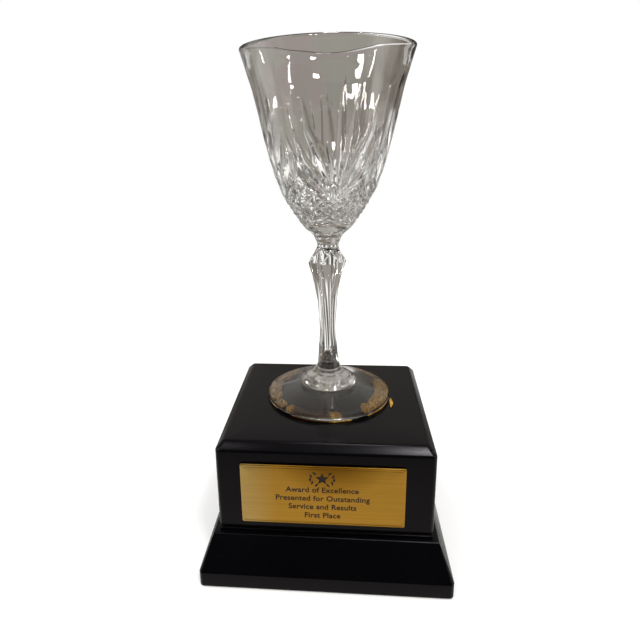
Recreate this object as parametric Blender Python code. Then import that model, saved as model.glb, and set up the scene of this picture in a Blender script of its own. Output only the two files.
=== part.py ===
"""Crystal goblet award: a cut-glass goblet cemented on a black wooden plinth with a brass plate.

Frame: origin at the bottom centre of the plinth, +Z up, the name plate faces -Y, +X to the right.
Lengths below are in millimetres and become metres when a mesh is made.
"""
import math

import bmesh
import bpy

MM = 0.001
GAP = 0.3  # clearance between pieces that touch

# Plinth
BASE_HALF_X = 65.0
BASE_HALF_Y = 61.35
BASE_BOTTOM = 0.6  # the felt stands proud of the wood by this much
BAND_TOP = 8.6
BASE_TOP = 27.6
LEDGE_INSET = 7.4  # the flare runs in by this much from the band to the ledge
BASE_CORNER = 2.4
EDGE_BREAK = 0.5
BLOCK_HALF_X = 55.1
BLOCK_HALF_Y = 51.5
BLOCK_BOTTOM = 30.5
BLOCK_TOP = 78.5
BLOCK_CORNER = 1.4
TOP_CHAMFER = 3.95
NECK_INSET = 1.3  # shadow gaps above and below the bead
BEAD_BOTTOM = 28.1
BEAD_TOP = 29.2
CORNER_STEPS = 4

# Felt
FELT_INSET = 4.0
FELT_THICK = 1.5

# Screws that hold the block down on the base
SCREW_X = 36.0
SCREW_Y = 33.0
SCREW_HEAD_Z = 4.0
SCREW_LENGTH = 42.0
SCREW_HEAD_R = 4.2
SCREW_HEAD_H = 2.4
SCREW_SHANK_R = 2.1
SCREW_RECESS_R = 1.7
SCREW_SEGMENTS = 16

# Name plate
PLATE_CENTRE_X = -1.05
PLATE_WIDTH = 82.4
PLATE_BOTTOM = 34.7
PLATE_TOP = 68.4
PLATE_THICK = 0.8
PLATE_CORNER = 0.9
PLATE_EDGE = 0.3
TAPE_THICK = 0.4
TAPE_INSET = 2.5
TAPE_GAP = 0.2

# Goblet: heights are above the block's top, and the axis stands a little behind the middle
GOBLET_X = 0.4
GOBLET_Y = 6.5
ROUND_SEGMENTS = 48
FOOT_BOTTOM = 1.1
FOOT_RADIUS = 35.5
FOOT_JOIN = 19.4
STEM_JOIN = 92.0
STEM_SIDES = 6
STEM_PHASE = -14.0  # degrees from -Y to the nearest shoulder corner
STEM_TWIST = 43.0  # the six edges turn by this much from the shoulder to the foot
SHOULDER_Z = 79.9
SHOULDER_R = 10.7
SHOULDER_TIP_Z = 85.6
SHOULDER_TIP_R = 7.3
PANEL_HOLLOW = 0.83  # middle of a panel as a share of the corner radius
PANEL_END_Z = 24.5

# Bowl outlines as (radius, height)
BOWL_OUTSIDE = [
    (6.9, STEM_JOIN), (7.7, 94.4), (9.9, 96.7), (12.4, 98.8), (17.4, 105.3), (20.3, 109.7), (24.9, 118.2),
    (28.2, 126.5), (31.3, 136.9), (33.8, 146.8), (36.4, 158.5), (38.8, 169.8), (41.2, 179.0), (43.4, 186.2),
]
BOWL_RIM = [(43.95, 188.0), (43.6, 188.7), (43.0, 188.5)]
BOWL_INSIDE = [
    (42.2, 187.0), (40.4, 183.0), (38.4, 177.5), (36.3, 170.0), (33.6, 158.5), (30.9, 147.0), (28.3, 136.9),
    (25.3, 128.0), (22.2, 121.0), (18.6, 114.5), (15.0, 110.2), (10.6, 106.6), (5.6, 104.3), (1.6, 103.7),
]

# Foot outline, from the join down over the top to the edge, then in along the hollow underside
FOOT_OUTSIDE = [
    (6.35, FOOT_JOIN), (7.1, 17.0), (8.8, 14.6), (12.6, 11.9), (16.2, 9.2), (21.5, 6.4), (28.0, 4.0),
    (34.2, 2.7), (FOOT_RADIUS, 2.0), (35.1, 1.2),
]
FOOT_UNDERSIDE = [(34.4, FOOT_BOTTOM), (27.6, FOOT_BOTTOM), (20.0, 2.0), (9.0, 3.6), (1.6, 4.0)]

# Stem below the shoulder as (height, corner radius)
STEM_LEVELS = [
    (76.0, 10.2), (72.0, 8.9), (66.0, 7.65), (59.0, 6.5), (51.0, 5.65), (42.0, 4.95), (34.0, 5.05), (28.0, 5.3),
]
STEM_NECK = [(87.2, 6.3), (88.3, 5.95), (90.0, 5.8), (STEM_JOIN - GAP, 6.8)]
STEM_BASE = [(PANEL_END_Z, 5.6), (22.0, 5.95), (FOOT_JOIN + GAP, 6.3)]

# Cement under the foot, and one bead of it that ran out beside the foot
CEMENT_INNER = 28.0
CEMENT_OUTER = 35.0
CEMENT_Z = 0.25
CEMENT_THICK = 0.6
DRIP_X = 36.0
DRIP_Y = -5.0
DRIP_TURN = -4.7  # degrees about +Z; the bead lies along Y before the turn
DRIP_HALF_LENGTH = 5.3
DRIP_HALF_WIDTH = 1.0
DRIP_HEIGHT = 1.0


def clear_scene():
    for thing in list(bpy.data.objects):
        bpy.data.objects.remove(thing, do_unlink=True)


def make_material(name, colour, roughness, metallic=0.0, transmission=0.0):
    material = bpy.data.materials.new(name)
    material.use_nodes = True
    shader = material.node_tree.nodes["Principled BSDF"]
    shader.inputs["Base Color"].default_value = (*colour, 1.0)
    shader.inputs["Roughness"].default_value = roughness
    shader.inputs["Metallic"].default_value = metallic
    shader.inputs["Transmission Weight"].default_value = transmission
    material.diffuse_color = (*colour, 1.0)
    return material


def circle(radius, z, segments=ROUND_SEGMENTS, phase=0.0):
    """Points of a level circle, counter-clockwise from above."""
    points = []
    for step in range(segments):
        angle = phase + math.tau * step / segments
        points.append((radius * math.cos(angle), radius * math.sin(angle), z))
    return points


def rounded_rectangle(half_x, half_y, radius, z):
    """Points of a level rectangle with round corners, counter-clockwise from above."""
    points = []
    corners = ((1, 1, 0), (-1, 1, 90), (-1, -1, 180), (1, -1, 270))
    for sign_x, sign_y, start in corners:
        centre_x = sign_x * (half_x - radius)
        centre_y = sign_y * (half_y - radius)
        for step in range(CORNER_STEPS + 1):
            angle = math.radians(start + 90 * step / CORNER_STEPS)
            points.append((centre_x + radius * math.cos(angle), centre_y + radius * math.sin(angle), z))
    return points


def join_rings(mesh, rings, capped=True):
    """Skin rings of equal length; an uncapped stack closes on itself like a torus."""
    rows = [[mesh.verts.new([value * MM for value in point]) for point in ring] for ring in rings]
    pairs = list(zip(rows, rows[1:]))
    if not capped:
        pairs.append((rows[-1], rows[0]))
    for lower, upper in pairs:
        for step in range(len(lower)):
            following = (step + 1) % len(lower)
            mesh.faces.new((lower[step], lower[following], upper[following], upper[step]))
    if capped:
        mesh.faces.new(rows[0])
        mesh.faces.new(rows[-1])


def make_object(name, mesh, material, place=(0.0, 0.0, 0.0), sharp=30.0):
    bmesh.ops.recalc_face_normals(mesh, faces=mesh.faces)
    data = bpy.data.meshes.new(name)
    mesh.to_mesh(data)
    mesh.free()
    data.materials.append(material)
    data.shade_smooth()
    data.set_sharp_from_angle(angle=math.radians(sharp))
    thing = bpy.data.objects.new(name, data)
    thing.location = [value * MM for value in place]
    bpy.context.scene.collection.objects.link(thing)
    return thing


def lofted(name, rings, material, place=(0.0, 0.0, 0.0), capped=True, sharp=30.0):
    mesh = bmesh.new()
    join_rings(mesh, rings, capped)
    return make_object(name, mesh, material, place, sharp)


def turned(name, outline, material, place, segments=ROUND_SEGMENTS, capped=True):
    return lofted(name, [circle(radius, z, segments) for radius, z in outline], material, place, capped)


def cut(target, cutter):
    cutter.hide_render = True
    cutter.display_type = "WIRE"
    boolean = target.modifiers.new("cut_" + cutter.name, "BOOLEAN")
    boolean.operation = "DIFFERENCE"
    boolean.solver = "EXACT"
    boolean.object = cutter


def screw_places():
    return [(x, y) for y in (-SCREW_Y, SCREW_Y) for x in (-SCREW_X, SCREW_X)]


def hole_cutter(name, outline, material):
    """Four turned bodies, one at each screw."""
    mesh = bmesh.new()
    for x, y in screw_places():
        rings = []
        for radius, z in outline:
            rings.append([(x + px, y + py, pz) for px, py, pz in circle(radius, z, SCREW_SEGMENTS)])
        join_rings(mesh, rings)
    return make_object(name, mesh, material)


def build_base(wood):
    sections = (
        (BASE_BOTTOM, EDGE_BREAK),
        (BASE_BOTTOM + EDGE_BREAK, 0.0),
        (BAND_TOP - EDGE_BREAK, 0.0),
        (BAND_TOP + EDGE_BREAK, EDGE_BREAK / 2),
        (BASE_TOP - EDGE_BREAK, LEDGE_INSET - EDGE_BREAK / 3),
        (BASE_TOP, LEDGE_INSET + EDGE_BREAK / 2),
    )
    rings = []
    for z, inset in sections:
        rings.append(rounded_rectangle(BASE_HALF_X - inset, BASE_HALF_Y - inset, BASE_CORNER, z))
    base = lofted("plinth_base", rings, wood)

    recess_top = FELT_THICK + GAP
    half_x = BASE_HALF_X - FELT_INSET + GAP
    half_y = BASE_HALF_Y - FELT_INSET + GAP
    recess = lofted(
        "felt_recess_cutter",
        [rounded_rectangle(half_x, half_y, BASE_CORNER, z) for z in (BASE_BOTTOM - 2.0, recess_top)],
        wood,
    )
    cut(base, recess)

    head_r = SCREW_HEAD_R + GAP
    hole_r = SCREW_SHANK_R + GAP
    seat_top = SCREW_HEAD_Z + SCREW_HEAD_H + GAP
    outline = [(head_r, recess_top - 1.0), (head_r, SCREW_HEAD_Z + GAP), (hole_r, seat_top), (hole_r, BASE_TOP + 2.0)]
    cut(base, hole_cutter("base_hole_cutter", outline, wood))


def build_neck_board(wood):
    """Thin board between base and block: a bead with a shadow gap above and below it."""
    sections = (
        (BASE_TOP + GAP, NECK_INSET),
        (BEAD_BOTTOM, NECK_INSET),
        (BEAD_BOTTOM + 0.15, 0.0),
        (BEAD_TOP - 0.15, 0.0),
        (BEAD_TOP, NECK_INSET),
        (BLOCK_BOTTOM - GAP, NECK_INSET),
    )
    rings = []
    for z, inset in sections:
        rings.append(rounded_rectangle(BLOCK_HALF_X - inset, BLOCK_HALF_Y - inset, BLOCK_CORNER, z))
    board = lofted("neck_board", rings, wood)
    hole_r = SCREW_SHANK_R + GAP
    cut(board, hole_cutter("neck_hole_cutter", [(hole_r, BASE_TOP - 1.0), (hole_r, BLOCK_BOTTOM + 1.0)], wood))


def build_block(wood):
    sections = (
        (BLOCK_BOTTOM, 0.8),
        (BLOCK_BOTTOM + 0.8, 0.0),
        (BLOCK_TOP - TOP_CHAMFER, 0.0),
        (BLOCK_TOP, TOP_CHAMFER),
    )
    rings = []
    for z, inset in sections:
        rings.append(rounded_rectangle(BLOCK_HALF_X - inset, BLOCK_HALF_Y - inset, BLOCK_CORNER, z))
    block = lofted("plinth_block", rings, wood)
    hole_r = SCREW_SHANK_R + GAP
    hole_top = SCREW_HEAD_Z + SCREW_LENGTH + 2.0
    outline = [(hole_r, BLOCK_BOTTOM - 1.0), (hole_r, hole_top), (0.5, hole_top + 1.5)]
    cut(block, hole_cutter("block_hole_cutter", outline, wood))


def build_screws(steel):
    """Countersunk screws driven upwards, heads down, with a round drive recess."""
    tip_z = SCREW_HEAD_Z + SCREW_LENGTH
    outline = [
        (0.4, SCREW_HEAD_Z + 1.6), (1.1, SCREW_HEAD_Z + 1.4), (SCREW_RECESS_R, SCREW_HEAD_Z),
        (SCREW_HEAD_R, SCREW_HEAD_Z), (SCREW_HEAD_R, SCREW_HEAD_Z + 0.3),
        (SCREW_SHANK_R, SCREW_HEAD_Z + SCREW_HEAD_H), (SCREW_SHANK_R, tip_z - 6.0), (0.3, tip_z),
    ]
    first = None
    for number, (x, y) in enumerate(screw_places(), start=1):
        name = f"base_screw_{number}"
        if first is None:
            first = turned(name, outline, steel, (x, y, 0.0), SCREW_SEGMENTS)
        else:
            copy = bpy.data.objects.new(name, first.data)
            copy.location = (x * MM, y * MM, 0.0)
            bpy.context.scene.collection.objects.link(copy)


def build_felt(felt):
    half_x = BASE_HALF_X - FELT_INSET
    half_y = BASE_HALF_Y - FELT_INSET
    rings = [rounded_rectangle(half_x, half_y, BASE_CORNER, z) for z in (0.0, FELT_THICK)]
    lofted("base_felt", rings, felt)


def standing_sheet(name, half_x, half_z, corner, sections, place, material):
    """An upright sheet facing -Y; each section is (distance in front of the place, inset)."""
    rings = []
    for depth, inset in sections:
        outline = rounded_rectangle(half_x - inset, half_z - inset, corner, 0.0)
        rings.append([(x, -depth, z) for x, z, _ in outline])
    return lofted(name, rings, material, place)


def build_plate(brass, tape_material):
    middle_z = (PLATE_TOP + PLATE_BOTTOM) / 2
    half_x = PLATE_WIDTH / 2
    half_z = (PLATE_TOP - PLATE_BOTTOM) / 2
    tape_back = -BLOCK_HALF_Y - TAPE_GAP
    plate_back = tape_back - TAPE_THICK - TAPE_GAP
    standing_sheet(
        "plate_tape", half_x - TAPE_INSET, half_z - TAPE_INSET, PLATE_CORNER,
        ((0.0, 0.0), (TAPE_THICK, 0.0)), (PLATE_CENTRE_X, tape_back, middle_z), tape_material,
    )
    standing_sheet(
        "name_plate", half_x, half_z, PLATE_CORNER,
        ((0.0, 0.0), (PLATE_THICK - PLATE_EDGE, 0.0), (PLATE_THICK, PLATE_EDGE)),
        (PLATE_CENTRE_X, plate_back, middle_z), brass,
    )


def goblet_place():
    return (GOBLET_X, GOBLET_Y, BLOCK_TOP)


def build_bowl(crystal):
    turned("goblet_bowl", BOWL_OUTSIDE + BOWL_RIM + BOWL_INSIDE, crystal, goblet_place())


def stem_ring(corner, middle, turn):
    """Twelve points, corners and panel middles in turn; each is given as (radius, height)."""
    points = []
    for step in range(2 * STEM_SIDES):
        radius, z = corner if step % 2 == 0 else middle
        angle = math.radians(STEM_PHASE + turn - 90.0 + 180.0 * step / STEM_SIDES)
        points.append((radius * math.cos(angle), radius * math.sin(angle), z))
    return points


def build_stem(crystal):
    """Six-sided inverted baluster: kite facets above the shoulder, long hollow panels below it."""
    rings = [stem_ring((radius, z), (radius, z), 0.0) for z, radius in reversed(STEM_NECK)]
    rings.append(stem_ring((SHOULDER_R, SHOULDER_Z), (SHOULDER_TIP_R, SHOULDER_TIP_Z), 0.0))
    for z, radius in STEM_LEVELS:
        turn = STEM_TWIST * (SHOULDER_Z - z) / (SHOULDER_Z - PANEL_END_Z)
        rings.append(stem_ring((radius, z), (radius * PANEL_HOLLOW, z), turn))
    rings += [stem_ring((radius, z), (radius, z), STEM_TWIST) for z, radius in STEM_BASE]
    lofted("goblet_stem", rings, crystal, goblet_place(), sharp=20.0)


def build_foot(crystal):
    turned("goblet_foot", FOOT_OUTSIDE + FOOT_UNDERSIDE, crystal, goblet_place())


def build_cement(cement):
    top = CEMENT_Z + CEMENT_THICK
    outline = [(CEMENT_INNER, CEMENT_Z), (CEMENT_OUTER, CEMENT_Z), (CEMENT_OUTER, top), (CEMENT_INNER, top)]
    turned("cement_ring", outline, cement, goblet_place(), capped=False)

    angle = math.radians(DRIP_TURN)
    rings = []
    for share, lift in ((1.0, 0.0), (0.92, 0.4), (0.65, 0.8), (0.25, 1.0)):
        ring = []
        for x, y, _ in circle(share, 0.0, SCREW_SEGMENTS):
            along = DRIP_HALF_LENGTH * y
            across = DRIP_HALF_WIDTH * x
            turned_x = across * math.cos(angle) - along * math.sin(angle)
            turned_y = across * math.sin(angle) + along * math.cos(angle)
            ring.append((turned_x, turned_y, DRIP_HEIGHT * lift))
        rings.append(ring)
    lofted("cement_drip", rings, cement, (DRIP_X, DRIP_Y, BLOCK_TOP + CEMENT_Z))


def main():
    clear_scene()
    wood = make_material("black_lacquered_wood", (0.012, 0.012, 0.014), 0.35)
    brass = make_material("brushed_brass", (0.72, 0.53, 0.23), 0.35, metallic=1.0)
    steel = make_material("zinc_plated_steel", (0.62, 0.62, 0.6), 0.4, metallic=1.0)
    felt = make_material("black_felt", (0.02, 0.02, 0.022), 0.95)
    tape = make_material("foam_tape", (0.75, 0.75, 0.72), 0.8)
    crystal = make_material("clear_crystal", (0.97, 0.98, 0.97), 0.03, transmission=1.0)
    cement = make_material("amber_cement", (0.62, 0.38, 0.12), 0.3)

    build_base(wood)
    build_neck_board(wood)
    build_block(wood)
    build_screws(steel)
    build_felt(felt)
    build_plate(brass, tape)
    build_foot(crystal)
    build_stem(crystal)
    build_bowl(crystal)
    build_cement(cement)


main()
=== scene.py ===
import math

import bmesh
import bpy
import numpy as np
from mathutils import Matrix, Vector


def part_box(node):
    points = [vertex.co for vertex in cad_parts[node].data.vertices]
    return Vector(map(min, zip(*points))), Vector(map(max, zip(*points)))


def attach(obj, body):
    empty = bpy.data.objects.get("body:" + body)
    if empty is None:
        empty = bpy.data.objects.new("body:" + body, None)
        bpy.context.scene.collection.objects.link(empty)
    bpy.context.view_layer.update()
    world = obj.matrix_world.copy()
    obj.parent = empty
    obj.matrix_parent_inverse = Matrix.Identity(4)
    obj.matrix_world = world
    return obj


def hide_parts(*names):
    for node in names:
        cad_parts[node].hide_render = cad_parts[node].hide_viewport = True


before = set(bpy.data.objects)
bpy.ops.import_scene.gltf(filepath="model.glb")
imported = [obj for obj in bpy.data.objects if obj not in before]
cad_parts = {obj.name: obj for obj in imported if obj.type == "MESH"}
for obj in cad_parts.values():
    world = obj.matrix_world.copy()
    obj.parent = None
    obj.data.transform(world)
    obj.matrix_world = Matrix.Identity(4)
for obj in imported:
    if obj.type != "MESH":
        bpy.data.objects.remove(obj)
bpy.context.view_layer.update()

MM = 0.001
BODY = "root"

# Boxes of the CAD nodes in metres, and the goblet's place in mm
FOOT_LOW, FOOT_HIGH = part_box("goblet_foot")
BLOCK_LOW, BLOCK_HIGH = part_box("plinth_block")
BASE_LOW, BASE_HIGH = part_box("plinth_base")
NECK_LOW, NECK_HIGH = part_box("neck_board")
FELT_LOW, FELT_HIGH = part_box("base_felt")
PLATE_LOW, PLATE_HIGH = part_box("name_plate")
CEMENT_LOW, CEMENT_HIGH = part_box("cement_ring")
DRIP_LOW, DRIP_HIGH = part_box("cement_drip")
GOBLET_X = (FOOT_LOW.x + FOOT_HIGH.x) / 2 / MM
GOBLET_Y = (FOOT_LOW.y + FOOT_HIGH.y) / 2 / MM
BLOCK_TOP = BLOCK_HIGH.z / MM


# ---------------------------------------------------------------- small helpers

def link(name, data):
    thing = bpy.data.objects.new(name, data)
    bpy.context.scene.collection.objects.link(thing)
    return thing


def piece_from_arrays(name, vertices, faces, sharp=None):
    """A mesh piece from points in mm and faces, normals outwards."""
    data = bpy.data.meshes.new(name)
    data.from_pydata([tuple(v) for v in np.asarray(vertices) * MM], [], faces)
    mesh = bmesh.new()
    mesh.from_mesh(data)
    bmesh.ops.recalc_face_normals(mesh, faces=mesh.faces)
    mesh.to_mesh(data)
    mesh.free()
    data.shade_smooth()
    if sharp is not None:
        data.set_sharp_from_angle(angle=math.radians(sharp))
    return link(name, data)


def finish_piece(thing, material, replaces=()):
    """Give a piece its material, hang it on the body it rides on, and hide the CAD nodes that it stands for.
    """
    thing.data.materials.clear()
    thing.data.materials.append(material)
    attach(thing, BODY)
    if replaces:
        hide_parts(*replaces)


def spline(points, samples):
    """Catmull-Rom through (a, b) points, sampled evenly along its length."""
    points = np.asarray(points, float)
    ends = np.vstack([2 * points[0] - points[1], points, 2 * points[-1] - points[-2]])
    fine = []
    for i in range(len(points) - 1):
        p0, p1, p2, p3 = ends[i:i + 4]
        for t in np.linspace(0, 1, 24, endpoint=False):
            fine.append(
                0.5 * (2 * p1 + (p2 - p0) * t + (2 * p0 - 5 * p1 + 4 * p2 - p3) * t**2
                       + (3 * p1 - p0 - 3 * p2 + p3) * t**3)
            )
    fine = np.array(fine + [points[-1]])
    length = np.concatenate([[0], np.cumsum(np.hypot(*np.diff(fine, axis=0).T))])
    at = np.linspace(0, length[-1], samples) if np.isscalar(samples) else np.asarray(samples) * length[-1]
    return np.column_stack([np.interp(at, length, fine[:, 0]), np.interp(at, length, fine[:, 1])])


def rounded_path(points, steps=5):
    """A polyline of (inset, z, radius) with its inner corners turned into arcs."""
    out = []
    for i, (a, b, radius) in enumerate(points):
        here = np.array([a, b])
        if radius <= 0 or i in (0, len(points) - 1):
            out.append(here)
            continue
        back = np.array(points[i - 1][:2]) - here
        ahead = np.array(points[i + 1][:2]) - here
        back_length, ahead_length = np.hypot(*back), np.hypot(*ahead)
        back, ahead = back / back_length, ahead / ahead_length
        half = math.acos(max(-1, min(1, float(back @ ahead)))) / 2
        reach = min(radius / math.tan(half), 0.49 * back_length, 0.49 * ahead_length)
        start, end = here + back * reach, here + ahead * reach
        for t in np.linspace(0, 1, steps):
            out.append((1 - t) ** 2 * start + 2 * t * (1 - t) * here + t**2 * end)
    return out


def rectangle_ring(half_x, half_y, radius, z, steps=8):
    """A rectangle with round corners, as points at height z."""
    ring = []
    for sign_x, sign_y, start in ((1, 1, 0), (-1, 1, 90), (-1, -1, 180), (1, -1, 270)):
        for step in range(steps + 1):
            angle = math.radians(start + 90 * step / steps)
            ring.append((
                sign_x * (half_x - radius) + radius * math.cos(angle),
                sign_y * (half_y - radius) + radius * math.sin(angle), z,
            ))
    return ring


def loft_rings(rings):
    """Vertices and faces of equal rings skinned together and capped."""
    count = len(rings[0])
    vertices = [p for ring in rings for p in ring]
    faces = []
    for level in range(len(rings) - 1):
        for step in range(count):
            after = (step + 1) % count
            a, b = level * count, (level + 1) * count
            faces.append((a + step, a + after, b + after, b + step))
    faces.append(tuple(range(count)))
    faces.append(tuple(range(len(vertices) - count, len(vertices))))
    return vertices, faces


def board(name, half_x, half_y, corner, path, sharp=35):
    """A rounded rectangular board from a path of (inset, z, edge radius)."""
    rings = []
    for inset, z in rounded_path(path):
        rings.append(rectangle_ring(half_x - inset, half_y - inset, max(corner - inset * 0.3, 0.3), z))
    return piece_from_arrays(name, *loft_rings(rings), sharp=sharp)


# ---------------------------------------------------------------- materials

class Tree:
    """Short calls for the nodes of a material or a world."""

    def __init__(self, tree):
        self.tree = tree

    def add(self, kind, **values):
        node = self.tree.nodes.new(kind)
        for key, value in values.items():
            if key.startswith("_"):
                setattr(node, key[1:], value)
            else:
                node.inputs[key.replace("__", " ")].default_value = value
        return node

    def join(self, source, target):
        self.tree.links.new(source, target)

    def axes(self, coordinates):
        """X, Y and Z of one of the texture coordinates."""
        texture = self.add("ShaderNodeTexCoord")
        split = self.add("ShaderNodeSeparateXYZ")
        self.join(texture.outputs[coordinates], split.inputs[0])
        return [split.outputs[axis] for axis in "XYZ"]

    def noise(self, vector, scale, detail=4.0, roughness=0.5, distortion=0.0):
        node = self.add(
            "ShaderNodeTexNoise", Scale=scale, Detail=detail, Roughness=roughness, Distortion=distortion,
        )
        self.join(vector, node.inputs["Vector"])
        return node.outputs["Fac"]

    def ramp(self, value, stops):
        node = self.add("ShaderNodeValToRGB")
        ramp = node.color_ramp
        while len(ramp.elements) < len(stops):
            ramp.elements.new(0.5)
        for element, (position, colour) in zip(ramp.elements, stops):
            element.position = position
            element.color = (*colour, 1.0)
        self.join(value, node.inputs["Fac"])
        return node.outputs["Color"]

    def spread(self, value, low, high, from_low=0.0, from_high=1.0, shape="LINEAR"):
        """low to high while value goes from from_low to from_high, and held beyond them."""
        node = self.add("ShaderNodeMapRange", _interpolation_type=shape)
        node.inputs["From Min"].default_value = from_low
        node.inputs["From Max"].default_value = from_high
        node.inputs["To Min"].default_value = low
        node.inputs["To Max"].default_value = high
        self.join(value, node.inputs["Value"])
        return node.outputs["Result"]

    def calculate(self, operation, a, b=None):
        node = self.add("ShaderNodeMath", _operation=operation)
        for socket, value in zip(node.inputs, (a, b)):
            if value is None:
                continue
            if isinstance(value, (int, float)):
                socket.default_value = value
            else:
                self.join(value, socket)
        return node.outputs[0]

    def mix(self, factor, a, b):
        node = self.add("ShaderNodeMix", _data_type="RGBA")
        for socket, value in ((node.inputs[0], factor), (node.inputs[6], a), (node.inputs[7], b)):
            if isinstance(value, (int, float)):
                socket.default_value = value
            elif isinstance(value, tuple):
                socket.default_value = (*value, 1.0)
            else:
                self.join(value, socket)
        return node.outputs[2]

    def total(self, *terms):
        """Weighted sum of (value, weight) pairs."""
        out = None
        for value, weight in terms:
            term = self.calculate("MULTIPLY", value, weight)
            out = term if out is None else self.calculate("ADD", out, term)
        return out


class Nodes(Tree):
    """A material: a Principled shader and what feeds it."""

    def __init__(self, name):
        self.material = bpy.data.materials.new(name)
        self.material.use_nodes = True
        super().__init__(self.material.node_tree)
        self.shader = self.tree.nodes["Principled BSDF"]
        self.output = self.tree.nodes["Material Output"]

    def set(self, **values):
        for key, value in values.items():
            self.shader.inputs[key.replace("__", " ")].default_value = value

    def coordinates(self, scale=(1, 1, 1), rotation=(0, 0, 0)):
        texture = self.add("ShaderNodeTexCoord")
        mapping = self.add("ShaderNodeMapping", Scale=scale, Rotation=rotation)
        self.join(texture.outputs["Object"], mapping.inputs["Vector"])
        return mapping.outputs["Vector"]

    def bump(self, height, strength, distance):
        node = self.add("ShaderNodeBump", Strength=strength, Distance=distance)
        self.join(height, node.inputs["Height"])
        return node.outputs["Normal"]

    def wire(self, **sockets):
        for key, source in sockets.items():
            self.join(source, self.shader.inputs[key.replace("__", " ")])
        return self.material


def lacquer_material():
    """Black satin lacquer over open wood pores, with a little dust in its sheen."""
    n = Nodes("black_satin_lacquer")
    n.set(Specular__IOR__Level=0.21, Specular__Tint=(0.95, 0.91, 1.0, 1.0))
    fine = n.noise(n.coordinates(), 900, 3)
    broad = n.noise(n.coordinates(), 28, 4)
    grain = n.noise(n.coordinates((90, 900, 900)), 1.0, 5, 0.6)
    pores = n.spread(grain, 0.0, 1.0, 0.62, 0.75)
    colour = n.mix(broad, (0.0006, 0.0005, 0.0008), (0.0015, 0.0012, 0.0018))
    colour = n.mix(n.spread(fine, 0.0, 0.4, 0.62, 0.78), colour, (0.007, 0.006, 0.006))
    roughness = n.spread(n.total((broad, 0.6), (fine, 0.4)), 0.17, 0.31)
    height = n.total((fine, 0.35), (pores, -0.5))
    return n.wire(Base__Color=colour, Roughness=roughness, Normal=n.bump(height, 0.25, 0.00012))


def brass_material():
    """Gold-coloured brass brushed along the plate, with a painted reflection: bright at the left end and
    darker towards the middle of the top edge.
    """
    n = Nodes("brushed_brass")
    n.set(Metallic=1.0, Anisotropic=0.5)
    fine = n.noise(n.coordinates((14, 1, 2400)), 1.0, 3, 0.6)
    coarse = n.noise(n.coordinates((5, 1, 620)), 1.0, 3, 0.6)
    patch = n.noise(n.coordinates((18, 1, 30)), 1.0, 3)
    streak = n.total((fine, 0.5), (coarse, 0.5))
    # Painted reflection: the brass colour darkens towards the middle of the top edge, by place on the plate
    x, _, z = n.axes("Object")
    across = n.calculate("MULTIPLY", n.calculate("ADD", x, -0.004), 30.0)
    down = n.calculate("MULTIPLY", n.calculate("SUBTRACT", z, PLATE_HIGH.z + 0.002), 46.0)
    away = n.calculate("SQRT", n.total((across, across), (down, down)))
    away = n.total((away, 1.0), (patch, 0.3))
    painted_reflection_tone = n.ramp(away, [
        (0.40, (0.46, 0.22, 0.022)), (0.80, (0.76, 0.40, 0.050)), (1.0, (0.92, 0.50, 0.075)),
    ])
    # Painted reflection: the left end of the plate is coloured a bright pale gold
    left = n.spread(n.total((x, 1.0), (patch, 0.012)), 0.85, 0.0, -0.034, -0.018)
    painted_reflection_tone = n.mix(left, painted_reflection_tone, (1.0, 0.74, 0.27))
    gold = n.mix(n.spread(streak, 0.0, 1.0, 0.3, 0.7), n.mix(0.32, painted_reflection_tone, (0.22, 0.10, 0.012)), painted_reflection_tone)
    roughness = n.spread(streak, 0.30, 0.46, 0.3, 0.7)
    return n.wire(Base__Color=gold, Roughness=roughness, Normal=n.bump(streak, 0.35, 0.00006))


def ink_material():
    """Engraving filled with dark lacquer, thin in places so that the brass shows."""
    n = Nodes("engraving_fill")
    n.set(Roughness=0.5, Specular__IOR__Level=0.3)
    wear = n.noise(n.coordinates((700, 1, 1600)), 1.0, 4)
    colour = n.mix(n.spread(wear, 0.0, 1.0, 0.45, 0.8), (0.012, 0.006, 0.005), (0.040, 0.020, 0.010))
    return n.wire(Base__Color=colour, Roughness=n.spread(wear, 0.4, 0.6))


def crystal_material():
    """Clear lead crystal, faintly uneven and faintly grey where it is thick."""
    n = Nodes("cut_crystal")
    n.set(Transmission__Weight=1.0, IOR=1.53, Roughness=0.0)
    cloud = n.noise(n.coordinates(), 60, 3)
    tint = n.mix(cloud, (0.985, 0.985, 0.98), (0.998, 0.998, 0.995))
    ripple = n.noise(n.coordinates((1, 1, 0.35)), 95, 2)
    n.wire(Base__Color=tint, Normal=n.bump(ripple, 0.05, 0.0006))
    absorb = n.add("ShaderNodeVolumeAbsorption", Color=(0.93, 0.93, 0.90, 1.0), Density=18.0)
    n.join(absorb.outputs[0], n.output.inputs["Volume"])
    return n.material


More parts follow.
